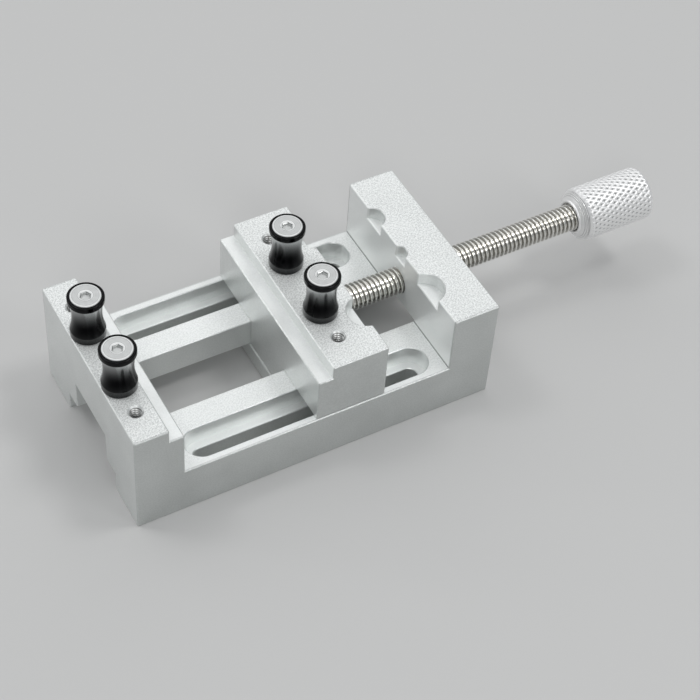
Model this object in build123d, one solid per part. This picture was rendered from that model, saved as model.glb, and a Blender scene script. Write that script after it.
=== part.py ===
from build123d import *
import math
import os

# A small drill press vise. It lies along X: fixed jaw at the low end, end block and knob at
# the high end, Z up. Sizes are millimetres. The origin is on the resting plane, under the
# middle of the whole vise as it stands here.

# Base, one machined block
base_length = 108.8
base_width = 60.0
base_height = 35.0
rail_top = 16.0
fixed_strip_length = 9.8
end_block_length = 14.0
ledge_length = 4.2
ledge_drop = 4.2
edge_break = 0.25

# Stepped groove along the underside: the narrow upper part breaks through between the rails
window_width = 20.0
window_top = 16.5
keeper_groove_width = 31.4
keeper_groove_height = 6.5

# Hold-down slots, one on each side, each sunk in a wide pocket
pocket_width = 10.0
pocket_floor = 10.0
pocket_outer_wall = 2.2
pocket_end_wall = 3.4
slot_width = 5.2

# Moving jaw
moving_strip_length = 16.8
jaw_side_inset = 0.25
slide_clearance = 0.08
lift_clearance = 0.05
jaw_open_share = 0.657  # where the jaw stands, as a share of its travel

# Half round notches in the facing top edges of moving jaw and end block
notch_depth = 4.0
notch_axis_offset = 1.0
notch_spacing = 15.2
front_notch_diameter = 11.0
middle_notch_diameter = 5.4
rear_notch_diameter = 7.8

# Posts on the jaws, and the flat head screws that hold them
post_spacing = 20.2
moving_post_setback = 6.4
post_height = 14.2
post_lip_diameter = 10.0
post_lip_height = 1.55
post_end_diameter = 9.7
post_end_height = 2.3
post_waist_diameter = 8.2
post_bore_clearance = 0.15
flat_head_diameter = 8.3
flat_head_angle = 82.0
flat_head_edge = 0.3
flat_head_stand = 0.2
screw_tip_taper = 0.6
screw_major_diameter = 4.166
screw_minor_diameter = 3.45
post_screw_length = 22.2
post_hex_across_flats = 2.38
post_hex_depth = 2.3
thread_clearance = 0.02

# Spare tapped holes outboard of the posts
spare_hole_spacing = 40.4
spare_hole_depth = 12.0
spare_hole_mouth_diameter = 4.4
spare_hole_mouth_angle = 90.0

# Lead screw
lead_major_diameter = 7.94
lead_thread_pitch = 1.411
lead_thread_depth = 0.8
lead_crest_share = 0.16
lead_root_share = 0.88
lead_axis_height = 23.35
lead_bore_clearance = 0.05
knob_stop_gap = 5.0  # left between knob and end block when the jaws are shut
nose_diameter = 6.0
nose_length = 14.0
nose_clearance = 0.05
nose_groove_diameter = 4.4
nose_groove_width = 3.0
nose_groove_setback = 9.5

# Retaining screw, up through the keel into the groove of the lead screw's nose
retaining_screw_length = 12.0
retaining_point_diameter = 2.6
retaining_point_length = 2.0
retaining_point_gap = 0.1
retaining_hex_across_flats = 2.0
retaining_hex_depth = 2.0

# Knob
knob_length = 24.9
knob_diameter = 15.9
knob_mouth_diameter = 10.4
knob_collar_diameter = 14.4
knob_collar_length = 1.9
knob_groove_width = 0.6
knob_groove_depth = 0.7
knob_end_round = 1.2
knob_screw_depth = 14.0
knob_set_screw_setback = 9.0
knob_set_screw_length = 3.5
knob_set_screw_turn = 45.0  # about the screw's axis, from straight down towards +Y
knob_hex_across_flats = 2.0
knob_hex_depth = 1.8

# Keeper plate under the rails, and its screws
keeper_floor_gap = 0.5
keeper_side_clearance = 0.2
keeper_overhang = 0.3
keeper_screw_spacing_x = 12.0
keeper_screw_spacing_y = 12.0
keeper_screw_diameter = 3.0
keeper_head_diameter = 6.0
keeper_head_angle = 90.0
keeper_head_edge = 0.1
keeper_screw_length = 10.0
keeper_hex_across_flats = 2.0
keeper_hex_depth = 1.2

# Worked out from the sizes above
fixed_jaw_length = fixed_strip_length + ledge_length
moving_jaw_length = moving_strip_length + ledge_length
inner_length = base_length - fixed_jaw_length - end_block_length
jaw_travel = inner_length - moving_jaw_length
jaw_opening = jaw_open_share * jaw_travel
screw_reach = jaw_travel + end_block_length + knob_stop_gap
overall_length = fixed_jaw_length + jaw_opening + moving_jaw_length + screw_reach + knob_length

base_left = -overall_length / 2
fixed_face = base_left + fixed_jaw_length
end_block_face = base_left + base_length - end_block_length
jaw_front = fixed_face + jaw_opening
jaw_rear = jaw_front + moving_jaw_length
knob_left = jaw_rear + screw_reach

half_width = base_width / 2
slot_y = half_width - pocket_outer_wall - pocket_width / 2
slot_left = fixed_face + pocket_end_wall + pocket_width / 2
slot_right = end_block_face - pocket_end_wall - pocket_width / 2
fixed_post_x = base_left + fixed_strip_length / 2
moving_post_x = jaw_front + ledge_length + moving_post_setback
jaw_bottom = rail_top + lift_clearance
keel_bottom = keeper_groove_height - lift_clearance
keel_width = window_width - 2 * slide_clearance
past = 1.0  # how far a cutting shape runs past the face it opens


def block(x, y, z):
    """A box between the two x, the two y and the two z values."""
    middle = Pos((x[0] + x[1]) / 2, (y[0] + y[1]) / 2, (z[0] + z[1]) / 2)
    return middle * Box(x[1] - x[0], y[1] - y[0], z[1] - z[0])


def upright(diameter, x, y, z):
    """A vertical cylinder between two z values."""
    return Pos(x, y, (z[0] + z[1]) / 2) * Cylinder(diameter / 2, z[1] - z[0])


def turned(profile):
    """A solid of revolution about Z from (radius, height) points."""
    outline = Polyline(*[(radius, 0, height) for radius, height in profile], close=True)
    return revolve(make_face(outline), Axis.Z)


def hexagon(across_flats, depth):
    """A hexagonal prism that hangs down from the origin by its depth."""
    return Pos(0, 0, -depth) * extrude(RegularPolygon(across_flats / math.sqrt(3), 6), depth)


def cone_height(head_diameter, shank_diameter, angle):
    """How far a flat head's cone reaches down to its shank."""
    return (head_diameter - shank_diameter) / 2 / math.tan(math.radians(angle / 2))


def along_x(shape, x, y, z):
    """The shape with its own Z turned to +X, set at a point."""
    return Pos(x, y, z) * Rot(0, 90, 0) * shape


def broken_edges(solid):
    """The solid with every outward edge chamfered by edge_break."""
    outward = [edge for edge in solid.edges() if not edge.is_interior]
    return chamfer(outward, edge_break)


def side_profile(outline, width):
    """A solid of constant width about Y = 0 from (x, z) points."""
    face = make_face(Polyline(*[(x, 0, z) for x, z in outline], close=True))
    return extrude(face, width / 2, dir=(0, 1, 0), both=True)


def spare_hole(x, y):
    """Cutter for a tapped hole with a countersunk mouth, down from the jaw's top."""
    bore = upright(screw_minor_diameter, x, y, (base_height - spare_hole_depth, base_height + past))
    sink = cone_height(spare_hole_mouth_diameter, screw_minor_diameter, spare_hole_mouth_angle)
    mouth = turned([
        (0, -sink),
        (screw_minor_diameter / 2, -sink),
        (spare_hole_mouth_diameter / 2, 0),
        (0, 0),
    ])
    return bore + Pos(x, y, base_height) * mouth


def post_screw_hole(x, y):
    """Cutter for the threaded hole of a post's screw."""
    engagement = post_screw_length - post_height - flat_head_stand
    diameter = screw_major_diameter + 2 * thread_clearance
    return upright(diameter, x, y, (base_height - engagement - past, base_height + past))


def notches(x):
    """Cutters for the three half round notches, on upright axes at x."""
    floor = base_height - notch_depth
    sizes = (
        (-notch_spacing, front_notch_diameter),
        (0, middle_notch_diameter),
        (notch_spacing, rear_notch_diameter),
    )
    return [upright(diameter, x, y, (floor, base_height + past)) for y, diameter in sizes]


def make_base():
    """Fixed jaw, two rails and end block in one piece, with hold-down slots between the two.

    The edges are broken before the round holes are drilled, as on the real block.
    """
    right = base_left + base_length
    step = base_left + fixed_strip_length
    outline = [
        (base_left, 0),
        (right, 0),
        (right, base_height),
        (end_block_face, base_height),
        (end_block_face, rail_top),
        (fixed_face, rail_top),
        (fixed_face, base_height - ledge_drop),
        (step, base_height - ledge_drop),
        (step, base_height),
        (base_left, base_height),
    ]
    solid = side_profile(outline, base_width)
    through = (base_left - past, right + past)
    solid -= block(through, (-window_width / 2, window_width / 2), (-past, window_top))
    half_groove = keeper_groove_width / 2
    solid -= block(through, (-half_groove, half_groove), (-past, keeper_groove_height))
    middle = (slot_left + slot_right) / 2
    for width, floor in ((pocket_width, pocket_floor), (slot_width, -past)):
        stadium = SlotCenterToCenter(slot_right - slot_left, width)
        cutter = extrude(stadium, rail_top + past - floor)
        solid -= [Pos(middle, side * slot_y, floor) * cutter for side in (-1, 1)]
    solid -= notches(end_block_face - notch_axis_offset)
    solid = broken_edges(solid)
    for side in (-1, 1):
        solid -= spare_hole(fixed_post_x, side * spare_hole_spacing / 2)
        solid -= post_screw_hole(fixed_post_x, side * post_spacing / 2)
    bore = Cylinder(lead_major_diameter / 2 + lead_bore_clearance, end_block_length + 2 * past)
    return solid - along_x(bore, end_block_face + end_block_length / 2, 0, lead_axis_height)


def keeper_screw_places():
    """Centres of the four keeper screws."""
    middle = (jaw_front + jaw_rear) / 2
    for x in (-keeper_screw_spacing_x / 2, keeper_screw_spacing_x / 2):
        for y in (-keeper_screw_spacing_y / 2, keeper_screw_spacing_y / 2):
            yield middle + x, y


def make_moving_jaw():
    """Jaw with its ledge, notches and the keel that runs between the rails."""
    step = jaw_front + ledge_length
    outline = [
        (jaw_front, jaw_bottom),
        (jaw_rear, jaw_bottom),
        (jaw_rear, base_height),
        (step, base_height),
        (step, base_height - ledge_drop),
        (jaw_front, base_height - ledge_drop),
    ]
    solid = side_profile(outline, base_width - 2 * jaw_side_inset)
    half_keel = keel_width / 2
    solid += block((jaw_front, jaw_rear), (-half_keel, half_keel), (keel_bottom, jaw_bottom + past))
    solid -= notches(jaw_rear + notch_axis_offset)
    solid = broken_edges(solid)
    for side in (-1, 1):
        solid -= spare_hole(moving_post_x, side * spare_hole_spacing / 2)
        solid -= post_screw_hole(moving_post_x, side * post_spacing / 2)
    depth = nose_length + past
    bore = Cylinder(nose_diameter / 2 + nose_clearance, depth + past)
    solid -= along_x(bore, jaw_rear + (past - depth) / 2, 0, lead_axis_height)
    retaining_bore = screw_major_diameter + 2 * thread_clearance
    retaining_x = jaw_rear - nose_groove_setback
    solid -= upright(retaining_bore, retaining_x, 0, (keel_bottom - past, lead_axis_height))
    keeper_bore = keeper_screw_diameter + 2 * thread_clearance
    top = keeper_floor_gap + keeper_screw_length + past
    for x, y in keeper_screw_places():
        solid -= upright(keeper_bore, x, y, (keel_bottom - past, top))
    return solid


def make_keeper_plate():
    """Plate under the rails that holds the jaw down."""
    half = keeper_groove_width / 2 - keeper_side_clearance
    ends = (jaw_front - keeper_overhang, jaw_rear + keeper_overhang)
    solid = broken_edges(block(ends, (-half, half), (keeper_floor_gap, keel_bottom)))
    radius = keeper_screw_diameter / 2 + thread_clearance
    head = keeper_head_diameter / 2 + thread_clearance
    sink = cone_height(2 * head, 2 * radius, keeper_head_angle)
    profile = [
        (0, -past),
        (head, -past),
        (head, keeper_head_edge),
        (radius, keeper_head_edge + sink),
        (radius, keel_bottom),
        (0, keel_bottom),
    ]
    for x, y in keeper_screw_places():
        solid -= Pos(x, y, keeper_floor_gap) * turned(profile)
    return solid


def make_flat_head_screw(head_diameter, shank_diameter, angle, edge, length, hex_flats, hex_depth):
    """Countersunk socket screw, head up, its top at the origin."""
    head = head_diameter / 2
    shank = shank_diameter / 2
    tip = screw_tip_taper
    cone = edge + cone_height(head_diameter, shank_diameter, angle)
    solid = turned([
        (0, 0),
        (head, 0),
        (head, -edge),
        (shank, -cone),
        (shank, -length + tip),
        (shank - tip, -length),
        (0, -length),
    ])
    return solid - hexagon(hex_flats, hex_depth)


def make_post():
    """Waisted spool with a lip at the top, standing on the origin."""
    bore = screw_major_diameter / 2 + post_bore_clearance
    end = post_end_diameter / 2
    lip = post_lip_diameter / 2
    waist = post_waist_diameter / 2
    lip_bottom = post_height - post_lip_height
    waist_height = (post_end_height + lip_bottom) / 2
    sink_top = flat_head_diameter / 2 + thread_clearance
    sink_floor = post_height + flat_head_stand - flat_head_edge
    sink_foot = sink_floor - cone_height(2 * sink_top, 2 * bore, flat_head_angle)
    outline = [
        Line((bore, 0, 0), (end - edge_break, 0, 0)),
        Line((end - edge_break, 0, 0), (end, 0, edge_break)),
        Line((end, 0, edge_break), (end, 0, post_end_height)),
        ThreePointArc((end, 0, post_end_height), (waist, 0, waist_height), (end, 0, lip_bottom)),
        Line((end, 0, lip_bottom), (lip, 0, lip_bottom)),
        Line((lip, 0, lip_bottom), (lip, 0, post_height - edge_break)),
        Line((lip, 0, post_height - edge_break), (lip - edge_break, 0, post_height)),
        Line((lip - edge_break, 0, post_height), (sink_top, 0, post_height)),
        Line((sink_top, 0, post_height), (sink_top, 0, sink_floor)),
        Line((sink_top, 0, sink_floor), (bore, 0, sink_foot)),
        Line((bore, 0, sink_foot), (bore, 0, 0)),
    ]
    return revolve(make_face(Wire(outline)), Axis.Z)


def make_lead_screw():
    """Threaded rod with a grooved nose, nose down, its shoulder at the origin.

    The thread is a row of rings with the thread's own profile, one for each turn.
    """
    major = lead_major_diameter / 2
    root = major - lead_thread_depth
    nose = nose_diameter / 2
    groove = nose_groove_diameter / 2
    groove_top = -nose_groove_setback + nose_groove_width / 2
    groove_foot = -nose_groove_setback - nose_groove_width / 2
    length = screw_reach + knob_screw_depth - 2 * lift_clearance
    crest = lead_crest_share * lead_thread_pitch
    flank = (lead_root_share - lead_crest_share) * lead_thread_pitch / 2
    turns = int(length / lead_thread_pitch)
    first = (length - turns * lead_thread_pitch) / 2
    profile = [(0, length), (0, -nose_length), (nose - edge_break, -nose_length)]
    profile += [(nose, -nose_length + edge_break), (nose, groove_foot), (groove, groove_foot)]
    profile += [(groove, groove_top), (nose, groove_top), (nose, 0), (root, 0)]
    for turn in range(turns):
        foot = first + turn * lead_thread_pitch
        profile += [(root, foot), (major, foot + flank), (major, foot + flank + crest)]
        profile += [(root, foot + 2 * flank + crest)]
    profile += [(root, length)]
    return turned(profile)


def make_retaining_screw():
    """Dog point set screw, point up, its tip at the origin."""
    thread = screw_major_diameter / 2
    point = retaining_point_diameter / 2
    foot = -retaining_screw_length
    solid = turned([
        (0, 0),
        (point, 0),
        (point, -retaining_point_length),
        (thread, -retaining_point_length - (thread - point)),
        (thread, foot + edge_break),
        (thread - edge_break, foot),
        (0, foot),
    ])
    socket = Rot(180, 0, 0) * hexagon(retaining_hex_across_flats, retaining_hex_depth)
    return solid - Pos(0, 0, foot) * socket


def knob_radial(shape):
    """The shape with its Z turned outwards along the knob's set screw hole."""
    return Pos(0, 0, knob_set_screw_setback) * Rot(0, 90, 0) * shape


def make_knob():
    """Turned knob with a coned collar and countersunk mouth, mouth down at the origin."""
    outer = knob_diameter / 2
    mouth = knob_mouth_diameter / 2
    collar = knob_collar_diameter / 2
    bore = lead_major_diameter / 2 + thread_clearance
    groove_end = knob_collar_length + knob_groove_width
    waist = collar - knob_groove_depth
    far = knob_length - knob_end_round
    lean = knob_end_round * math.sqrt(0.5)
    round_middle = (outer - knob_end_round + lean, 0, far + lean)
    outline = [
        Line((0, 0, knob_screw_depth), (bore, 0, knob_screw_depth)),
        Line((bore, 0, knob_screw_depth), (bore, 0, mouth - bore)),
        Line((bore, 0, mouth - bore), (mouth - edge_break, 0, 0)),
        Line((mouth - edge_break, 0, 0), (mouth, 0, 0)),
        Line((mouth, 0, 0), (collar, 0, knob_collar_length)),
        Line((collar, 0, knob_collar_length), (waist, 0, knob_collar_length)),
        Line((waist, 0, knob_collar_length), (waist, 0, groove_end)),
        Line((waist, 0, groove_end), (collar, 0, groove_end)),
        Line((collar, 0, groove_end), (outer, 0, groove_end + outer - collar)),
        Line((outer, 0, groove_end + outer - collar), (outer, 0, far)),
        ThreePointArc((outer, 0, far), round_middle, (outer - knob_end_round, 0, knob_length)),
        Line((outer - knob_end_round, 0, knob_length), (0, 0, knob_length)),
        Line((0, 0, knob_length), (0, 0, knob_screw_depth)),
    ]
    solid = revolve(make_face(Wire(outline)), Axis.Z)
    hole = Cylinder(screw_major_diameter / 2 + thread_clearance, outer + past)
    return solid - knob_radial(Pos(0, 0, (outer + past) / 2) * hole)


def make_knob_set_screw():
    """Flat point set screw, point down at the origin."""
    thread = screw_major_diameter / 2
    solid = turned([
        (0, 0),
        (thread - edge_break, 0),
        (thread, edge_break),
        (thread, knob_set_screw_length - edge_break),
        (thread - edge_break, knob_set_screw_length),
        (0, knob_set_screw_length),
    ])
    return solid - Pos(0, 0, knob_set_screw_length) * hexagon(knob_hex_across_flats, knob_hex_depth)


def make_parts():
    """Every piece in its place, by name."""
    parts = {
        "base": make_base(),
        "moving_jaw": make_moving_jaw(),
        "keeper_plate": make_keeper_plate(),
    }
    keeper_screw = make_flat_head_screw(
        keeper_head_diameter, keeper_screw_diameter, keeper_head_angle, keeper_head_edge,
        keeper_screw_length, keeper_hex_across_flats, keeper_hex_depth,
    )
    for number, (x, y) in enumerate(keeper_screw_places(), 1):
        parts[f"keeper_screw_{number}"] = Pos(x, y, keeper_floor_gap) * Rot(180, 0, 0) * keeper_screw
    post = make_post()
    post_screw = make_flat_head_screw(
        flat_head_diameter, screw_major_diameter, flat_head_angle, flat_head_edge,
        post_screw_length, post_hex_across_flats, post_hex_depth,
    )
    for jaw, x in (("fixed", fixed_post_x), ("moving", moving_post_x)):
        for side, y in (("front", -post_spacing / 2), ("rear", post_spacing / 2)):
            parts[f"{jaw}_{side}_post"] = Pos(x, y, base_height) * post
            top = base_height + post_height + flat_head_stand
            parts[f"{jaw}_{side}_post_screw"] = Pos(x, y, top) * post_screw
    parts["lead_screw"] = along_x(make_lead_screw(), jaw_rear + lift_clearance, 0, lead_axis_height)
    groove_bottom = lead_axis_height - nose_groove_diameter / 2
    retaining_x = jaw_rear - nose_groove_setback
    retaining_tip = groove_bottom - retaining_point_gap
    parts["retaining_screw"] = Pos(retaining_x, 0, retaining_tip) * make_retaining_screw()
    knob_place = Pos(knob_left, 0, lead_axis_height) * Rot(knob_set_screw_turn, 0, 0) * Rot(0, 90, 0)
    seat = Pos(0, 0, lead_major_diameter / 2 + thread_clearance)
    parts["knob"] = knob_place * make_knob()
    parts["knob_set_screw"] = knob_place * knob_radial(seat * make_knob_set_screw())
    return parts


if __name__ == "__main__":
    os.makedirs("parts", exist_ok=True)
    for name, shape in make_parts().items():
        export_step(shape, f"parts/{name}.step")
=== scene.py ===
import math

import bmesh
import bpy
import numpy as np
from mathutils import Matrix, Vector


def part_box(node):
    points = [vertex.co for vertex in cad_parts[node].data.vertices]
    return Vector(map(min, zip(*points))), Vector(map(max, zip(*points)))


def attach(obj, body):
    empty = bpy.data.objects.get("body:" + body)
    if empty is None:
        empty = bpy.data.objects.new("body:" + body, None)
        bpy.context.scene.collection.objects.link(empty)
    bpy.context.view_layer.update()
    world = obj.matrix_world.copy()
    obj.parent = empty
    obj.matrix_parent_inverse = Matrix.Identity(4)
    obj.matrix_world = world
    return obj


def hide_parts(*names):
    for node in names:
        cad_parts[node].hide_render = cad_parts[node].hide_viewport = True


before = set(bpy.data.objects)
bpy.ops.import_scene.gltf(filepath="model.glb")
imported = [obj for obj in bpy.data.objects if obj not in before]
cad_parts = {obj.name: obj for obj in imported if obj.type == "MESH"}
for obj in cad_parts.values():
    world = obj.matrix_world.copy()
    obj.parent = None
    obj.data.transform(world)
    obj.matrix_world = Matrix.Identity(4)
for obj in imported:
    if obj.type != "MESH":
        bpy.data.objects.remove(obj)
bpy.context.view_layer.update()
mm = 0.001


# Base: one block of aluminium, milled all over with its edges broken, then bead blasted and
# clear anodised. Fixed jaw, two rails with their hold-down slots, and end block are one piece.
class Shade:
    """One value inside a material's nodes. Arithmetic on it adds Math nodes."""

    def __init__(self, tree, socket=None):
        self.tree = tree
        self.socket = socket

    def add(self, kind, settings=None, sockets=None, output=0):
        """Adds a node: its settings first, then a value or a link for each named socket."""
        node = self.tree.nodes.new(kind)
        for name, value in (settings or {}).items():
            setattr(node, name, value)
        for name, value in (sockets or {}).items():
            if isinstance(value, Shade):
                self.tree.links.new(value.socket, node.inputs[name])
            else:
                node.inputs[name].default_value = value
        return Shade(self.tree, node.outputs[output])

    def maths(self, operation, *values):
        """A Math node on one or two values, each a number or a Shade."""
        sockets = dict(enumerate(values))
        return self.add("ShaderNodeMath", {"operation": operation}, sockets)

    def __add__(self, other):
        return self.maths("ADD", self, other)

    __radd__ = __add__

    def __mul__(self, other):
        return self.maths("MULTIPLY", self, other)

    __rmul__ = __mul__

    def __sub__(self, other):
        return self.maths("SUBTRACT", self, other)

    def __rsub__(self, other):
        return self.maths("SUBTRACT", other, self)

    def __abs__(self):
        return self.maths("ABSOLUTE", self)

    def part(self, axis):
        """One of the three numbers of this vector, where axis 0 is x, 1 is y and 2 is z."""
        return self.add("ShaderNodeSeparateXYZ", {}, {"Vector": self}, axis)

    def facing(self, axis):
        """How much the surface faces along an axis, from -1 to 1."""
        return self.add("ShaderNodeTexCoord", output="Normal").part(axis)

    def stretched(self, scale):
        """This place with each of its three numbers multiplied by the one in scale."""
        return self.add("ShaderNodeMapping", {}, {"Vector": self, "Scale": scale})

    def measure(self, name):
        """The numbers that the mesh holds under this name, one for each point."""
        return self.add("ShaderNodeAttribute", {"attribute_name": name}, output="Fac")

    def along_way(self):
        """The way along a piece in metres, from the UV map that skin gives it."""
        return self.add("ShaderNodeUVMap", {"uv_map": "way"}).stretched((0, 1, 0))

    def steps(self, low, high):
        """Rises smoothly from 0 at low to 1 at high."""
        sockets = {"Value": self, "From Min": low, "From Max": high}
        return self.add("ShaderNodeMapRange", {"interpolation_type": "SMOOTHSTEP"}, sockets)

    def near(self, middle, inside, outside):
        """1 up to a distance of inside from the middle, falling smoothly to 0 at outside."""
        return 1 - abs(self - middle).steps(inside, outside)

    def mixed(self, first, second):
        """The first colour where this value is 0, the second where it is 1."""
        sockets = {0: self, 6: (*first, 1), 7: (*second, 1)}
        return self.add("ShaderNodeMix", {"data_type": "RGBA"}, sockets, 2)

    def noise(self, size, detail=2.0):
        """Noise over this place, with grains of about the given size in metres."""
        sockets = {"Vector": self, "Scale": 1 / size, "Detail": detail}
        return self.add("ShaderNodeTexNoise", {"noise_dimensions": "3D"}, sockets)

    def bump(self, depth):
        """A normal from this height, where a rise of 1 is the given depth in metres."""
        return self.add("ShaderNodeBump", {}, {"Height": self, "Distance": depth, "Strength": 1.0})


def new_material(name, settings):
    """Returns a new material, the Object coordinates that its nodes start from, its shader."""
    material = bpy.data.materials.new(name)
    material.use_nodes = True
    tree = material.node_tree
    tree.nodes.clear()
    shader = tree.nodes.new("ShaderNodeBsdfPrincipled")
    for socket, value in settings.items():
        shader.inputs[socket].default_value = value
    output = tree.nodes.new("ShaderNodeOutputMaterial")
    tree.links.new(shader.outputs["BSDF"], output.inputs["Surface"])
    place = Shade(tree).add("ShaderNodeTexCoord", output="Object")
    return material, place, shader


def drive(shader, **values):
    """Links values to the shader's sockets, with _ for a space in their names."""
    for socket, value in values.items():
        name = socket.replace("_", " ")
        value.tree.links.new(value.socket, shader.inputs[name])


def dress(node, material):
    """Gives a CAD node its material."""
    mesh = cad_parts[node].data
    mesh.materials.clear()
    mesh.materials.append(material)


def blasted_aluminium():
    """Blasted aluminium: the grain sparkles on the tops and is fine on all other faces.

    Masks from a point's place and facing find the parts of the vise. Painted light makes the
    rails, pockets, ledges and the end block's inner face a little lighter, and painted shade makes
    the long outer sides a little darker and draws a thin dark line in the corner between the rails
    and the end block. The speckle in the colour is partly the blasted grain and partly painted
    glints.
    """
    settings = {"Coat Weight": 0.2, "Coat Roughness": 0.25}
    material, place, shader = new_material("blasted aluminium", settings)
    up = place.facing(2).steps(*top_facing)
    along, aside, height = (place.part(axis) for axis in (0, 1, 2))
    aside = abs(aside)
    outer = aside.steps(long_side - side_margin - blend, long_side - side_margin)

    # The pocket beside each rail, and the narrow rim of the base beyond it.
    between_ends = along.near(base_middle, pocket_reach, pocket_reach + mm)
    above_floor = height.steps(pocket_floor - mm, pocket_floor)
    to_rail_top = height.steps(rail_top - 2 * blend, rail_top - blend)
    beside_rail = aside.steps(pocket_near - 2 * hair, pocket_near - hair)
    rim = aside.steps(pocket_far + hair, pocket_far + 2 * hair)
    rim = rim * (1 - height.steps(rail_top, ledge_height))
    pocket = (above_floor - to_rail_top) * beside_rail * (1 - rim) * between_ends

    # The rails' tops, the jaws' ledges, the end block's inner face and the corner under it, where
    # the colour takes painted light and a thin line of painted shade.
    at_rail = height.near(rail_top, blend, 2 * blend)
    rail = up * at_rail
    ledge = height.steps(ledge_height - 2 * mm, ledge_height - mm)
    above_ledge = height.steps(ledge_height + mm, ledge_height + 2 * mm)
    inner = along.near(block_face, blend, 2 * blend) * (1 - outer)
    corner = along.near(block_face, hair, 2.5 * hair) * at_rail * (1 - outer)

    # The blasted grain, which sparkles most where the surface is a top. Its speckle in the colour
    # is partly grain and partly painted glints, calmer in the pockets, on the ledges, rim and
    # rails.
    sparkling = up * (1 - pocket - ledge + above_ledge)
    sparkling = sparkling * (1 - rim_calm * rim) * (1 - rail_calm * rail)
    grain = place.noise(grain_size, 1.0)
    glint = place.noise(grain_size / 2, 1.0)
    cloud = place.noise(cloud_size)
    spark = (glint * 0.4 + grain * 0.6).steps(0.38, 0.62) - 0.5
    relief = (grain + 0.5 * glint) * (side_relief + (1 - side_relief) * sparkling)

    # Painted light: the pockets, the end block's inner face, the rails and the ledges are lighter.
    painted_light = pocket_and_inner_painted_light * (pocket + inner) + rail_painted_light * rail
    painted_light = painted_light + ledge_painted_light * (ledge - above_ledge) * up
    # Painted shade: the long outer sides are darker, and a thin dark line lies in the corner.
    painted_shade = side_painted_shade * outer + corner_painted_shade * corner
    tone = plain_tone + painted_light - painted_shade + cloud_tone * (cloud - 0.5)
    # The speckle is partly the blasted grain and partly painted glints, strongest on the tops.
    tone = tone + spark * (side_grain_and_glint + top_grain_and_glint * sparkling)
    drive(
        shader,
        Base_Color=tone.mixed(dark_aluminium, pale_aluminium),
        Metallic=0.85 - 0.4 * (up + inner),
        Roughness=0.42 + 0.08 * up - 0.12 * spark,
        Normal=relief.bump(grain_depth),
    )
    return material


# Where the parts of the vise lie.
base_low, base_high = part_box("base")
base_middle = (base_low.x + base_high.x) / 2
long_side = base_high.y
pocket_reach = 45 * mm
pocket_floor = 10 * mm
pocket_near = 17.8 * mm
pocket_far = 27.8 * mm
rail_top = 16 * mm
ledge_height = 30.8 * mm
block_length = 14 * mm
block_face = base_high.x - block_length

# How sharply the masks end, and how steep a face still counts as a top.
side_margin = 0.4 * mm
blend = 0.3 * mm
hair = 0.1 * mm
top_facing = (0.75, 0.95)

# How the colour changes from part to part, by painted light, painted shade and painted glints.
dark_aluminium = (0.10, 0.12, 0.11)
pale_aluminium = (0.95, 0.97, 0.96)
plain_tone = 0.83
pocket_and_inner_painted_light = 0.17
rail_painted_light = 0.07
ledge_painted_light = 0.12
side_painted_shade = 0.22
corner_painted_shade = 0.6
grain_size = 0.5 * mm
grain_depth = 0.07 * mm
side_relief = 0.15
side_grain_and_glint = 0.04
top_grain_and_glint = 0.3
rim_calm = 0.8
rail_calm = 0.6
cloud_size = 11 * mm
cloud_tone = 0.14

aluminium = blasted_aluminium()
dress("base", aluminium)


# Moving jaw and the keeper plate screwed under it: the same blasted aluminium. The jaw's keel
# runs between the rails and the plate holds it down from below.
for node in ("moving_jaw", "keeper_plate"):
    dress(node, aluminium)


# Small screws with black oxide: four flat head screws in the keeper plate, the retaining screw
# in the keel, and the set screw in the knob.
def black_oxide():
    """Blackened steel: dark, a little oily, worn brighter in faint clouds."""
    settings = {"Metallic": 0.6, "Coat Weight": 0.15, "Coat Roughness": 0.35}
    material, place, shader = new_material("black oxide", settings)
    cloud = place.noise(1.2 * mm, 3.0)
    drive(
        shader,
        Base_Color=cloud.mixed((0.02, 0.02, 0.022), (0.075, 0.072, 0.07)),
        Roughness=0.36 + 0.2 * cloud,
        Normal=place.noise(0.1 * mm).bump(0.002 * mm),
    )
    return material


black_steel = black_oxide()
keeper_screws = [f"keeper_screw_{number}" for number in (1, 2, 3, 4)]
for node in ["retaining_screw", "knob_set_screw"] + keeper_screws:
    dress(node, black_steel)


# Lead screw: a rolled stainless rod with a right-hand thread, turned down to a plain nose with
# a groove in it, which runs in the moving jaw. The thread's flanks are about 60 degrees apart.
def skin(name, points, turned=None):
    """A mesh over a grid of points, rows by columns, with each face between four neighbours.

    Rows go along the piece from its low end, columns once round it. UV: u is the share of the
    way round, v the way along the first column in metres. Where turned is given, each face is
    two triangles, split from its first corner, or from its second one where turned is true.
    """
    rows, columns = points.shape[:2]
    steps = np.linalg.norm(np.diff(points[:, 0], axis=0), axis=1)
    way = np.concatenate([[0], np.cumsum(steps)])
    u, v = np.meshgrid(np.linspace(0, 1, columns), way)
    corners = around_faces(np.arange(rows * columns).reshape(rows, columns))
    place = around_faces(np.dstack([u, v]))
    if turned is not None:
        split = np.where(turned[..., None], [0, 1, 3, 1, 2, 3], [0, 1, 2, 0, 2, 3])
        corners = np.take_along_axis(corners, split, 2).reshape(-1, 3)
        place = np.take_along_axis(place, split[..., None], 2)
    mesh = bpy.data.meshes.new(name)
    mesh.from_pydata(points.reshape(-1, 3), [], corners.reshape(-1, corners.shape[-1]))
    mesh.uv_layers.new(name="way").data.foreach_set("uv", place.astype(np.float32).ravel())
    return mesh


def around_faces(grid):
    """The four corner values of each face of a grid, in order round the face."""
    return np.stack([grid[:-1, :-1], grid[:-1, 1:], grid[1:, 1:], grid[1:, :-1]], axis=2)


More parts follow.
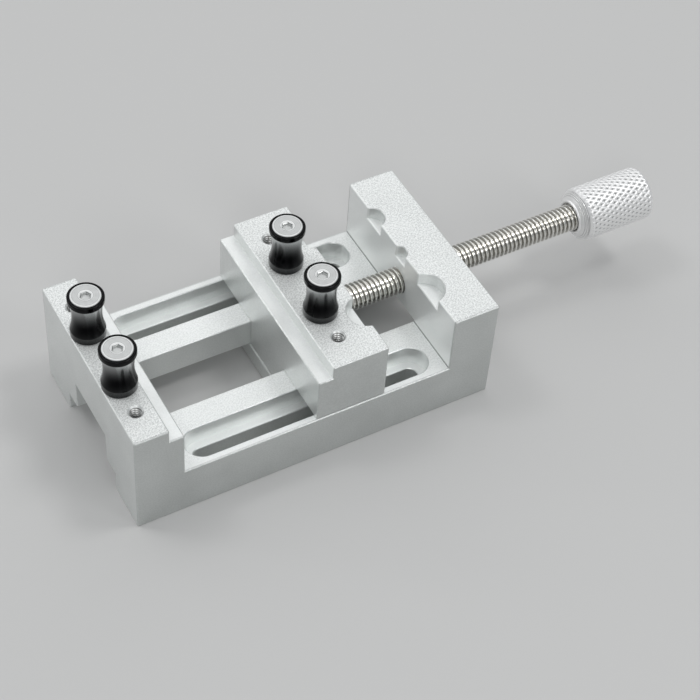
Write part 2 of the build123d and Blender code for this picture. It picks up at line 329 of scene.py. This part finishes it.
def write_measure(mesh, name, values):
    """Stores a number for each point of the grid, for the piece's material to read."""
    values = values.astype(np.float32).ravel()
    mesh.attributes.new(name, "FLOAT", "POINT").data.foreach_set("value", values)


def seal(mesh):
    """Merges the points that lie in one place, which closes the seam and the poles."""
    work = bmesh.new()
    work.from_mesh(mesh)
    bmesh.ops.remove_doubles(work, verts=work.verts, dist=same_place)
    work.to_mesh(mesh)
    work.free()
    return mesh


def finish_piece(mesh, material, body, slot, *nodes):
    """Makes the object of a closed mesh, smooth between its sharp edges."""
    mesh.shade_smooth()
    mesh.set_sharp_from_angle(angle=sharp_angle)
    mesh.materials.append(material)
    piece = bpy.data.objects.new(mesh.name, mesh)
    bpy.context.scene.collection.objects.link(piece)
    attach(piece, body)
    if nodes:
        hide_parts(*nodes)


def lying(radius, along, angle, origin):
    """Points about a line along +X through the origin: angle 0 is +Y, a quarter turn is +Z."""
    x = origin[0] + along
    y = origin[1] + radius * np.cos(angle)
    z = origin[2] + radius * np.sin(angle)
    return np.stack(np.broadcast_arrays(x, y, z), axis=-1)


def helix(form, pitch, length, run_in, share):
    """Height and rise over the grid of a thread, where a row is one point of the thread's form.

    The form gives shares of the pitch and of the thread's depth. A row climbs one pitch as it
    goes round, and its last column meets the first column of the same point one turn on, which
    closes the helix. Heights past either end are held at that end, where the thread has run out
    to its root within run_in pitches.
    """
    turns = math.ceil(length / pitch) + 1
    place = np.add.outer(np.arange(-1, turns), form[:, 0]).ravel()
    height = np.clip((place[:, None] + share) * pitch, 0, length)
    from_end = np.minimum(height, length - height) / pitch
    rise = np.tile(form[:, 1], turns + 1)[:, None] * np.clip(from_end / run_in, 0, 1)
    return height, rise


def rolled_stainless():
    """Rolled stainless, warm, brightest on the crests and light in the roots by painted light, and
    darker on the flanks by painted shade.

    The mesh's rise is 0 in the roots and 1 on the crests.
    """
    material, place, shader = new_material("rolled stainless", {"Metallic": 1.0})
    rise = place.measure("rise")
    crest = rise.steps(0.65, 0.95)
    root = 1 - rise.steps(0.02, 0.15)
    scuff = place.noise(0.4 * mm, 3.0)
    # Painted light on the crests and in the roots, painted shade on the flanks, and random scuffs.
    painted_light_and_scuff = crest * 0.9 + root * 0.4 + scuff * 0.15
    drive(
        shader,
        Base_Color=painted_light_and_scuff.mixed((0.38, 0.372, 0.343), (1.0, 0.99, 0.95)),
        Roughness=0.16 + 0.1 * scuff,
        Normal=place.noise(0.12 * mm).bump(0.001 * mm),
    )
    return material


same_place = 0.0001 * mm
sharp_angle = math.radians(28)
screw_low, screw_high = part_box("lead_screw")
screw_major = (screw_high.y - screw_low.y) / 2
screw_axis = (screw_low.z + screw_high.z) / 2
screw_columns = 72
thread_pitch = 1.411 * mm
thread_depth = 0.8 * mm
thread_form = np.array([
    (0.09, 0), (0.13, 0.04), (0.41, 0.93), (0.44, 1),
    (0.56, 1), (0.59, 0.93), (0.87, 0.04), (0.91, 0),
])
thread_run_in = 1.2
screw_root = screw_major - thread_depth
nose_length = 14 * mm
nose_radius = 3.0 * mm
nose_groove_radius = 2.2 * mm
nose_groove_end = 8 * mm
nose_groove_start = 11 * mm
nose_bevel = 0.4 * mm
turned_rise = 0.7


def make_lead_screw():
    """The nose is an outline in (radius, along) turned about the axis, and the thread a helix."""
    share = np.linspace(0, 1, screw_columns + 1)
    angle = share * math.tau
    origin = (screw_low.x + nose_length, 0, screw_axis)
    length = screw_high.x - origin[0]
    outline = np.array([
        (0, -nose_length),
        (nose_radius - nose_bevel, -nose_length),
        (nose_radius, -nose_length + nose_bevel),
        (nose_radius, -nose_groove_start),
        (nose_groove_radius, -nose_groove_start),
        (nose_groove_radius, -nose_groove_end),
        (nose_radius, -nose_groove_end),
        (nose_radius, 0),
    ])
    nose = lying(outline[:, :1], outline[:, 1:], angle, origin)
    height, rise = helix(thread_form, thread_pitch, length, thread_run_in, share)
    thread = lying(screw_root + rise * thread_depth, height, angle, origin)
    far_end = lying(np.zeros((1, 1)), length, angle, origin)
    mesh = skin("lead_screw_thread", np.concatenate([nose, thread, far_end]))

    # The plain turned ends look as the thread does at this rise.
    turned_ends = ((len(nose), len(far_end)), (0, 0))
    write_measure(mesh, "rise", np.pad(rise, turned_ends, constant_values=turned_rise))
    finish_piece(seal(mesh), rolled_stainless(), "lead_screw", "stainless_thread", "lead_screw")


make_lead_screw()


# Knob: turned from aluminium bar, diamond knurled at 30 degrees, with a ringed cone as its
# collar, a rounded lip round its countersunk mouth and a rounded far edge. Its set screw's hole
# is drilled through the knurl to the bore.
def anodised_turned():
    """Clear anodised turned aluminium: bright, with fine tool rings along the way from the bore.

    The mesh's rise is 0 in the knurl's pits and 1 on its ridges, and the colour follows it as
    painted shade: darker in the pits and in the collar's rings and groove. The far end is faced,
    so it is a little darker, with broader rings.
    """
    settings = {"Metallic": 0.7, "Coat Weight": 0.2, "Coat Roughness": 0.25}
    material, place, shader = new_material("anodised knob", settings)
    along = place.along_way()
    rings = along.noise(0.16 * mm)
    sweeps = along.noise(0.45 * mm)
    grain = place.noise(0.2 * mm)
    cloud = place.noise(4 * mm)
    ridge = place.measure("rise").steps(0.1, 0.8)
    faced = place.facing(0).steps(0.9, 0.98)
    # Painted shade darkens the knurl's pits and the collar's rings and groove, by the mesh's rise.
    tone = ridge * 0.75 + (grain + rings + cloud) * 0.1 - faced * (0.62 - 0.6 * sweeps)
    drive(
        shader,
        Base_Color=tone.mixed((0.26, 0.27, 0.265), (1.0, 1.0, 1.0)),
        Roughness=0.42 - 0.1 * grain,
        Normal=(rings + 0.4 * grain).bump(0.008 * mm),
    )
    return material


knob_low, knob_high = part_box("knob")
knob_radius = (knob_high.y - knob_low.y) / 2
knob_length = knob_high.x - knob_low.x
knob_bore_radius = screw_major + 0.02 * mm
knob_bore_depth = 14 * mm
end_round = 1.2 * mm
end_rows = 9
set_screw_from_mouth = 9 * mm
set_screw_hole_radius = 2.103 * mm
set_screw_hole_sides = 64
set_screw_side = Vector((0, 1, -1))

# The mouth's lip, the bulged cone with two rings cut in it, and the groove between it and the
# knurl, which has a ring left standing in it. The shadows are how much less bright they are.
mouth_radius = 5.2 * mm
lip_width = 0.75 * mm
lip_turn = (180, 340)
lip_rows = 9
collar_foot_radius = mouth_radius + 0.04 * mm
collar_foot = 0.75 * lip_width
collar_radius = 7.2 * mm
collar_length = 1.9 * mm
collar_bulge = 0.12 * mm
collar_rows = 41
collar_rings = (0.52, 0.8)
collar_ring_share = 0.09
collar_ring_depth = 0.2 * mm
collar_ring_shadow = 0.7
groove_width = 0.6 * mm
groove_floor = collar_radius - 0.4 * mm
groove_shadow = 0.9
groove_ring_start = 0.2 * mm
groove_ring_end = 0.42 * mm
groove_slope = 0.04 * mm

# The knurl: its ridges of each hand, the share of their height that is cut off flat, and how
# many columns lie from one ridge to the next.
knurl_count = 30
knurl_angle = math.radians(30)
knurl_depth = 0.36 * mm
knurl_flat = 0.3
knurl_columns = 12
bevel_rows = 4


def knob_mouth():
    """The plain outline in (radius, along) from the bore to the knurl, and its brightness, with
    painted shade in the rings and the groove.

    The cone bulges by half a sine wave, and a ring in it is a notch with straight sides.
    """
    bore = [
        (0, knob_bore_depth),
        (knob_bore_radius, knob_bore_depth),
        (knob_bore_radius, mouth_radius - knob_bore_radius),
    ]
    lip_curve = lip_width / 2
    lip = arc((mouth_radius - lip_curve, lip_curve), lip_curve, *lip_turn, lip_rows)
    cone = np.linspace(0, 1, collar_rows)
    to_ring = np.abs(np.subtract.outer(cone, collar_rings)).min(axis=1)
    notch = np.clip(1 - to_ring / collar_ring_share, 0, 1)
    depth = collar_ring_depth * notch - collar_bulge * np.sin(math.pi * cone)
    collar = np.column_stack([
        collar_foot_radius + (collar_radius - collar_foot_radius) * cone - depth,
        collar_foot + (collar_length - collar_foot) * cone,
    ])
    groove = np.array([
        (groove_floor, groove_slope),
        (groove_floor, groove_ring_start - groove_slope),
        (collar_radius - groove_slope, groove_ring_start),
        (collar_radius - groove_slope, groove_ring_end),
        (groove_floor, groove_ring_end + groove_slope),
        (groove_floor, groove_width),
    ])
    bright = np.concatenate([
        np.ones(len(bore) + len(lip)),
        1 - collar_ring_shadow * notch,
        1 - groove_shadow * (groove[:, 0] == groove_floor),
    ])
    return np.concatenate([bore, lip, collar, groove + (0, collar_length)]), bright


def make_knob():
    """The knurl is made by pressing two sets of helical ridges, one of each hand, round small
    pits.

    Where a point stands between the ridges of a set is a triangle wave, 1 on a ridge and 0 half
    way between two. The higher of both waves, cut off at the flat top, is how far it stands up.
    Rows and columns meet along the ridges, and a face is split along the ridge that is nearer.
    """
    columns = knurl_count * knurl_columns
    lead = math.tau * knob_radius / knurl_count / math.tan(knurl_angle)
    step = lead / knurl_columns

    # The knurl starts with a bevel, runs straight and ends in the rounded far edge.
    far = knob_length - end_round
    foot = collar_length + groove_width
    bevel = np.linspace(foot, foot + knob_radius - collar_radius, bevel_rows)
    straight = np.arange(math.ceil(bevel[-1] / step), math.floor(far / step)) * step
    corner = np.radians(np.linspace(0, 90, end_rows))
    along = np.concatenate([bevel, straight, far + end_round * np.sin(corner)])
    bound = np.concatenate([
        collar_radius + bevel - foot,
        0 * straight + knob_radius,
        knob_radius - end_round + end_round * np.cos(corner),
    ])

    share = np.linspace(0, 1, columns + 1)
    one = share * knurl_count + along[:, None] / lead
    other = share * knurl_count - along[:, None] / lead
    high = np.maximum(wave(one), wave(other))
    stand = np.minimum(high / (1 - knurl_flat), 1)
    radius = np.minimum(bound[:, None], knob_radius - knurl_depth * (1 - stand))
    sunk = (bound[:, None] - radius) / knurl_depth

    origin = (knob_low.x, 0, screw_axis)
    angle = share * math.tau
    outline, bright = knob_mouth()
    mouth = lying(outline[:, :1], outline[:, 1:], angle, origin)
    knurl = lying(radius, along[:, None], angle, origin)
    centre = lying(np.zeros((1, 1)), knob_length, angle, origin)
    points = np.concatenate([mouth, knurl, centre])
    turned = np.zeros((len(points) - 1, columns), bool)
    middle = [(line[:-1, :-1] + line[1:, 1:]) / 2 for line in (one, other)]
    turned[len(mouth):-1] = wave(middle[0]) > wave(middle[1])
    mesh = skin("knurled_knob", points, turned)
    # Painted shade: the collar's rings, the groove and the knurl's pits are darker.
    bright = np.repeat(bright[:, None], columns + 1, axis=1)
    write_measure(mesh, "rise", np.concatenate([bright, 1 - sunk, np.ones((1, columns + 1))]))
    hole_start = Vector(origin) + Vector((set_screw_from_mouth, 0, 0))
    mesh = drilled(seal(mesh), hole_start, set_screw_side)
    finish_piece(mesh, anodised_turned(), "lead_screw", "knurled_aluminium", "knob")


def wave(turns):
    """A triangle wave, 0 at whole numbers and 1 half way between them."""
    return 1 - np.abs(2 * (turns - np.floor(turns)) - 1)


def arc(centre, radius, first, last, count):
    """Points of a round corner in (radius, height), from one angle to another in degrees."""
    angle = np.radians(np.linspace(first, last, count))
    across = centre[0] + radius * np.cos(angle)
    return np.column_stack([across, centre[1] + radius * np.sin(angle)])


def drilled(mesh, start, direction):
    """The mesh with the set screw's hole cut from a start on its axis out through one side."""
    reach = 2 * knob_radius
    turn = direction.to_track_quat("Z", "Y").to_matrix().to_4x4()
    work = bmesh.new()
    bmesh.ops.create_cone(
        work,
        cap_ends=True,
        segments=set_screw_hole_sides,
        radius1=set_screw_hole_radius,
        radius2=set_screw_hole_radius,
        depth=reach,
        matrix=Matrix.Translation(start) @ turn @ Matrix.Translation((0, 0, reach / 2)),
    )
    drill_mesh = bpy.data.meshes.new("drill")
    work.to_mesh(drill_mesh)
    work.free()
    drill = bpy.data.objects.new("drill", drill_mesh)
    blank = bpy.data.objects.new("blank", mesh)
    for piece in (drill, blank):
        bpy.context.scene.collection.objects.link(piece)
    cut = blank.modifiers.new("hole", "BOOLEAN")
    cut.object = drill
    cut.operation = "DIFFERENCE"
    cut.solver = "EXACT"
    view = bpy.context.evaluated_depsgraph_get()
    result = bpy.data.meshes.new_from_object(blank.evaluated_get(view))

    # Removing a mesh also removes the object that shows it.
    name = mesh.name
    for used in (drill_mesh, mesh):
        bpy.data.meshes.remove(used)
    result.name = name
    return result


make_knob()


# Posts: four waisted spools turned from aluminium, polished and black anodised, with a lip round
# the top. Each stands on a jaw and is sunk for the flat head of the screw that holds it.
def standing(radius, height, angle, origin):
    """Points about an upright line through the origin: angle 0 is +X, a quarter turn is +Y."""
    x = origin[0] + radius * np.cos(angle)
    y = origin[1] + radius * np.sin(angle)
    z = origin[2] + height
    return np.stack(np.broadcast_arrays(x, y, z), axis=-1)


def black_anodised():
    """Polished and dyed black, with faint rings, and lighter at some heights by a painted
    reflection.

    The mesh's painted reflection is highest under the lip and next round the foot, where the
    posts reflect the pale jaw.
    """
    material, place, shader = new_material("black anodised", {"Metallic": 1.0})
    painted_reflection = place.measure("painted_reflection")
    cloud = place.noise(3 * mm)

    # Noise that hardly changes across the post, only up it, makes rings.
    rings = place.stretched((0.02, 0.02, 1)).noise(0.09 * mm, 1.0)
    # The colour is black, lighter where a reflection of the jaw is painted in.
    drive(
        shader,
        Base_Color=(painted_reflection + 0.01 * cloud).mixed((0.002, 0.002, 0.0025), (0.37, 0.38, 0.38)),
        Roughness=0.12 + 0.1 * cloud,
        Normal=rings.bump(0.0015 * mm),
    )
    return material


post_black = black_anodised()
post_columns = 96
round_rows = 5
waist_rows = 25
lip_height = 1.55 * mm
lip_round = 0.28 * mm
lip_bevel = 0.08 * mm
end_radius = 4.85 * mm
end_height = 2.3 * mm
end_margin = 0.05 * mm
waist_radius = 4.1 * mm
post_bore_radius = 2.233 * mm
head_radius = 4.15 * mm
head_stand = 0.2 * mm
head_edge = 0.3 * mm
head_angle = math.radians(82 / 2)
head_gap = 0.02 * mm
sink_bevel = 0.06 * mm
display_gamma = 2.2


def make_post(node, body):
    """The outline in (radius, height) runs up the outside and back down the bore.

    The waist is part of a circle. Its radius is the square of half the waist's height plus the
    square of the waist's depth, over twice that depth.
    """
    low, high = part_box(node)
    height = high.z - low.z
    lip_radius = (high.x - low.x) / 2
    lip_foot = height - lip_height
    half_waist = (lip_foot - end_height) / 2
    waist_depth = end_radius - waist_radius
    waist_curve = (half_waist ** 2 + waist_depth ** 2) / (2 * waist_depth)
    waist_centre = (waist_radius + waist_curve, end_height + half_waist)
    lean = math.degrees(math.asin(half_waist / waist_curve))
    sink_radius = head_radius + head_gap
    sink_floor = height + head_stand - head_edge
    sink_foot = sink_floor - (sink_radius - post_bore_radius) / math.tan(head_angle)
    outline = np.concatenate([
        [(post_bore_radius, 0)],
        arc((end_radius - lip_round, lip_round), lip_round, -90, 0, round_rows),
        [(end_radius, end_height - end_margin)],
        arc(waist_centre, waist_curve, 180 + lean, 180 - lean, waist_rows),
        [(lip_radius - lip_bevel, lip_foot), (lip_radius, lip_foot + lip_bevel)],
        arc((lip_radius - lip_round, height - lip_round), lip_round, 0, 90, round_rows),
        [(sink_radius + sink_bevel, height), (sink_radius, height - sink_bevel)],
        [(sink_radius, sink_floor), (post_bore_radius, sink_foot), (post_bore_radius, 0)],
    ])
    share = np.linspace(0, 1, post_columns + 1)
    origin = ((low.x + high.x) / 2, (low.y + high.y) / 2, low.z)
    points = standing(outline[:, :1], outline[:, 1:], share * math.tau, origin)
    mesh = skin(node + "_spool", points)

    # The painted reflection at some heights, as it looks on a display, straight between them.
    reflection_heights, reflection_values = zip(
        (0, 0),
        (lip_round, 0.2),
        (end_height - 2 * end_margin, 0.62),
        (end_height, 0.25),
        (end_height + 0.6 * half_waist, 0),
        (lip_foot - 0.3 * mm, 1),
        (lip_foot, 0.2),
    )
    painted_reflection = np.interp(outline[:, 1], reflection_heights, reflection_values) ** display_gamma
    write_measure(mesh, "painted_reflection", np.repeat(painted_reflection, len(share)))
    finish_piece(seal(mesh), post_black, body, "black_anodised", node)


jaws = {"fixed": "base", "moving": "moving_jaw"}
sides = ("front", "rear")
posts = [(f"{jaw}_{side}_post", body) for jaw, body in jaws.items() for side in sides]
for node, body in posts:
    make_post(node, body)


# Post screws: flat head socket screws of stainless steel, the heads faced on a lathe, standing
# a little proud of the post.
def faced_stainless():
    """Stainless, faced with fine rings from the socket to the rim.

    The mesh's press and painted light is high in the socket, which was made by pressing, and on
    the rounded rim: both are lighter by painted light, and less glossy. It is below 0 in thin dark
    lines, which are painted shade round the socket's mouth, and on the face.
    """
    material, place, shader = new_material("faced stainless", {"Metallic": 1.0})
    pressed_and_painted_light = place.measure("pressed_and_painted_light")
    rings = place.along_way().noise(0.12 * mm)
    cloud = place.noise(1.5 * mm)
    # Painted light makes the socket and the rim lighter, painted shade darkens the mouth's lines.
    tone = (rings + cloud) * (0.35 - 0.2 * pressed_and_painted_light) + 0.55 * pressed_and_painted_light
    drive(
        shader,
        Base_Color=tone.mixed((0.42, 0.43, 0.425), (0.90, 0.91, 0.905)),
        Roughness=0.28 + 0.12 * cloud + 0.25 * pressed_and_painted_light,
        Normal=rings.bump(0.004 * mm),
    )
    return material


head_steel = faced_stainless()
hex_flats = 2.38 * mm
hex_depth = 1.2 * mm
drill_depth = 0.35 * mm
drill_share = 0.86
mouth_sink = 0.22 * mm
worn_share = 1.14
worn_edge_share = 1.19
worn_edge_sink = 0.85 * mouth_sink
mouth_reach = 1.95 * mm
face_ring = 3.55 * mm
face_ring_width = 0.08 * mm
head_rim_round = 0.26 * mm
shank_radius = 2.083 * mm
shank_tip = 0.6 * mm


def make_post_screw(node, body):
    """The grid runs from the socket's drilled floor up its six walls, over the head and down.

    A row of the socket is a hexagon: its radius at an angle is half the width across flats over
    the cosine of the angle from the middle of the nearest flat.
    """
    low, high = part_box(node)
    length = high.z - low.z
    angle = np.linspace(0, 1, post_columns + 1) * math.tau
    from_flat = np.mod(angle, math.radians(60)) - math.radians(30)
    hexagon = hex_flats / 2 / np.cos(from_flat)
    cone_foot = -head_edge - (head_radius - shank_radius) / math.tan(head_angle)
    rim_centre = (head_radius - head_rim_round, -head_rim_round)
    rim = arc(rim_centre, head_rim_round, 90, 0, round_rows)

    # Radius and height of each row, and its press and painted light: lighter above 0, darker
    # below.
    profile = [
        (0, -hex_depth - drill_depth, 1.2),
        (hexagon * drill_share, -hex_depth, 1.2),
        (hexagon, -hex_depth, 0.6),
        (hexagon, -2 * mouth_sink, -0.3),
        (hexagon * worn_share, -mouth_sink, -0.6),
        (hexagon * worn_edge_share, -worn_edge_sink, 1.2),
        (mouth_reach, 0, 1.3),
        (mouth_reach + face_ring_width, 0, -0.7),
        (mouth_reach + 2.5 * face_ring_width, 0, 0),
        (face_ring - face_ring_width, 0, 0),
        (face_ring, 0, -0.6),
        (face_ring + face_ring_width, 0, 0.1),
        *[(radius, height, 1.3) for radius, height in rim],
        (head_radius, -head_edge, 0),
        (shank_radius, cone_foot, 0),
        (shank_radius, shank_tip - length, 0),
        (shank_radius - shank_tip, -length, 0),
        (0, -length, 0),
    ]
    origin = ((low.x + high.x) / 2, (low.y + high.y) / 2, high.z)
    rows = [standing(radius + 0 * angle, height, angle, origin) for radius, height, _ in profile]
    mesh = skin(node + "_head", np.stack(rows)[::-1])
    pressed_and_painted_light = [pressed_and_painted_light for _, _, pressed_and_painted_light in profile]
    write_measure(mesh, "pressed_and_painted_light", np.repeat(pressed_and_painted_light[::-1], len(angle)))
    finish_piece(seal(mesh), head_steel, body, "screw_steel", node)


for node, body in posts:
    make_post_screw(node + "_screw", body)


# Tapped threads: each jaw has two spare post holes with the same thread, cut right down from
# under their countersunk mouths. The thread is a sleeve that lies against the hole's wall.
def cut_thread():
    """Freshly tapped aluminium: bright crests over darker roots, by the mesh's rise; the darker
    roots are painted shade.
    """
    material, place, shader = new_material("tapped thread", {"Metallic": 1.0})
    rise = place.measure("rise")
    scuff = place.noise(0.3 * mm)
    # The roots' darker colour is painted shade.
    drive(
        shader,
        Base_Color=(rise * 0.8 + scuff * 0.3).mixed((0.25, 0.25, 0.245), (0.90, 0.91, 0.90)),
        Roughness=0.3 + 0.15 * scuff,
    )
    return material


tapped_bright = cut_thread()
tapped_columns = 64
tapped_wall = 1.715 * mm
tapped_crest = 1.45 * mm
tapped_root = 1.70 * mm
tapped_pitch = 0.794 * mm
tapped_form = np.array([(0.1, 0), (0.42, 1), (0.58, 1), (0.9, 0)])
tapped_run_in = 0.5
tapped_from_top = 0.5 * mm
tapped_to = 11.9 * mm
spare_hole_side = 20.2 * mm


def make_tapped_thread(jaw, side, body):
    """The sleeve's plain wall is turned, and its inside is a helix taken downwards."""
    low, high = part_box(f"{jaw}_{side}_post")
    hole_side = math.copysign(spare_hole_side, low.y)
    origin = ((low.x + high.x) / 2, hole_side, low.z - tapped_to)
    length = tapped_to - tapped_from_top
    share = np.linspace(0, 1, tapped_columns + 1)
    angle = share * math.tau
    wall = np.array([
        (tapped_root, 0),
        (tapped_wall, 0),
        (tapped_wall, length),
        (tapped_root, length),
    ])
    outside = standing(wall[:, :1], wall[:, 1:], angle, origin)
    height, rise = helix(tapped_form, tapped_pitch, length, tapped_run_in, share)
    radius = tapped_root - rise * (tapped_root - tapped_crest)
    inside = standing(radius, height, angle, origin)[::-1]
    mesh = skin(f"{jaw}_{side}_tapped_thread", np.concatenate([outside, inside]))
    write_measure(mesh, "rise", np.pad(rise[::-1], ((len(outside), 0), (0, 0))))
    finish_piece(seal(mesh), tapped_bright, body, "blasted_aluminium")


for jaw, body in jaws.items():
    for side in sides:
        make_tapped_thread(jaw, side, body)


# Studio: a plain pale floor in an even pale room. Two soft lamps hang overhead, a wide window
# stands behind, a broad weak lamp is the room's own light from high on the front left, and three
# small lamps light the broken edges.
def pale_floor():
    """The floor takes the object's shadow and shows as one pale tone."""
    settings = {"Roughness": 0.9, "Specular IOR Level": 0.0}
    material, place, shader = new_material("pale floor", settings)
    drive(shader, Base_Color=place.noise(0.3).mixed((0.57, 0.57, 0.565), (0.59, 0.59, 0.585)))
    return material


floor_reach = 3.0
floor_mesh = bpy.data.meshes.new("floor")
floor_sides = ((-1, -1), (1, -1), (1, 1), (-1, 1))
floor_corners = [(x * floor_reach, y * floor_reach, 0) for x, y in floor_sides]
floor_mesh.from_pydata(floor_corners, [], [(0, 1, 2, 3)])
floor_mesh.materials.append(pale_floor())
floor = bpy.data.objects.new("floor", floor_mesh)
bpy.context.scene.collection.objects.link(floor)

room = bpy.data.worlds.new("room")
bpy.context.scene.world = room
room.use_nodes = True
background = room.node_tree.nodes["Background"]
background.inputs["Color"].default_value = (0.8, 0.82, 0.84, 1)
background.inputs["Strength"].default_value = 0.44


def soft_lamp(name, size, glow, direction, distance):
    """A square lamp that faces the vise from a direction and looks as bright as its glow.

    Its size and its distance are in metres.
    """
    light = bpy.data.lights.new(name, "AREA")
    light.shape = "SQUARE"
    light.size = size
    light.energy = glow * math.pi * size ** 2
    lamp = bpy.data.objects.new(name, light)
    away = Vector(direction).normalized()
    facing = away.to_track_quat("Z", "Y").to_matrix().to_4x4()
    lamp.matrix_world = Matrix.Translation(away * distance) @ facing
    bpy.context.scene.collection.objects.link(lamp)


# Name, size, glow, direction from the vise, distance.
soft_lamp("overhead right", 0.36, 10.2, (0.36, -0.15, 0.92), 1.6)
soft_lamp("overhead left", 0.36, 5.4, (-0.35, 0.30, 0.89), 1.6)
soft_lamp("window", 2.4, 0.6, (0.05, 0.63, 0.77), 1.5)
soft_lamp("room", 1.5, 0.25, (-0.35, -0.45, 0.82), 1.5)
soft_lamp("near edge", 0.25, 5.0, (-0.40, -0.635, 0.66), 1.2)
soft_lamp("front edge", 0.3, 4.5, (0.35, -0.75, 0.56), 1.2)
soft_lamp("left edge", 0.2, 5.0, (-0.75, 0.56, 0.35), 1.2)


# Camera: a long lens from the front left, held a little off level.
camera_data = bpy.data.cameras.new("camera")
camera_data.sensor_width = 36
camera_data.lens = 95.8
camera = bpy.data.objects.new("camera", camera_data)
bpy.context.scene.collection.objects.link(camera)
bpy.context.scene.camera = camera
aim = Vector((-15.2, -11.0, 15.0)) * mm
azimuth = math.radians(-32.28)
elevation = math.radians(48.74)
roll = math.radians(4.77)
distance = 521.1 * mm
back = Vector((
    math.sin(azimuth) * math.cos(elevation),
    -math.cos(azimuth) * math.cos(elevation),
    math.sin(elevation),
))
level = back.to_track_quat("Z", "Y").to_matrix().to_4x4()
rolled = level @ Matrix.Rotation(roll, 4, "Z")
camera.matrix_world = Matrix.Translation(aim + back * distance) @ rolled

bpy.context.scene.view_settings.view_transform = "Standard"
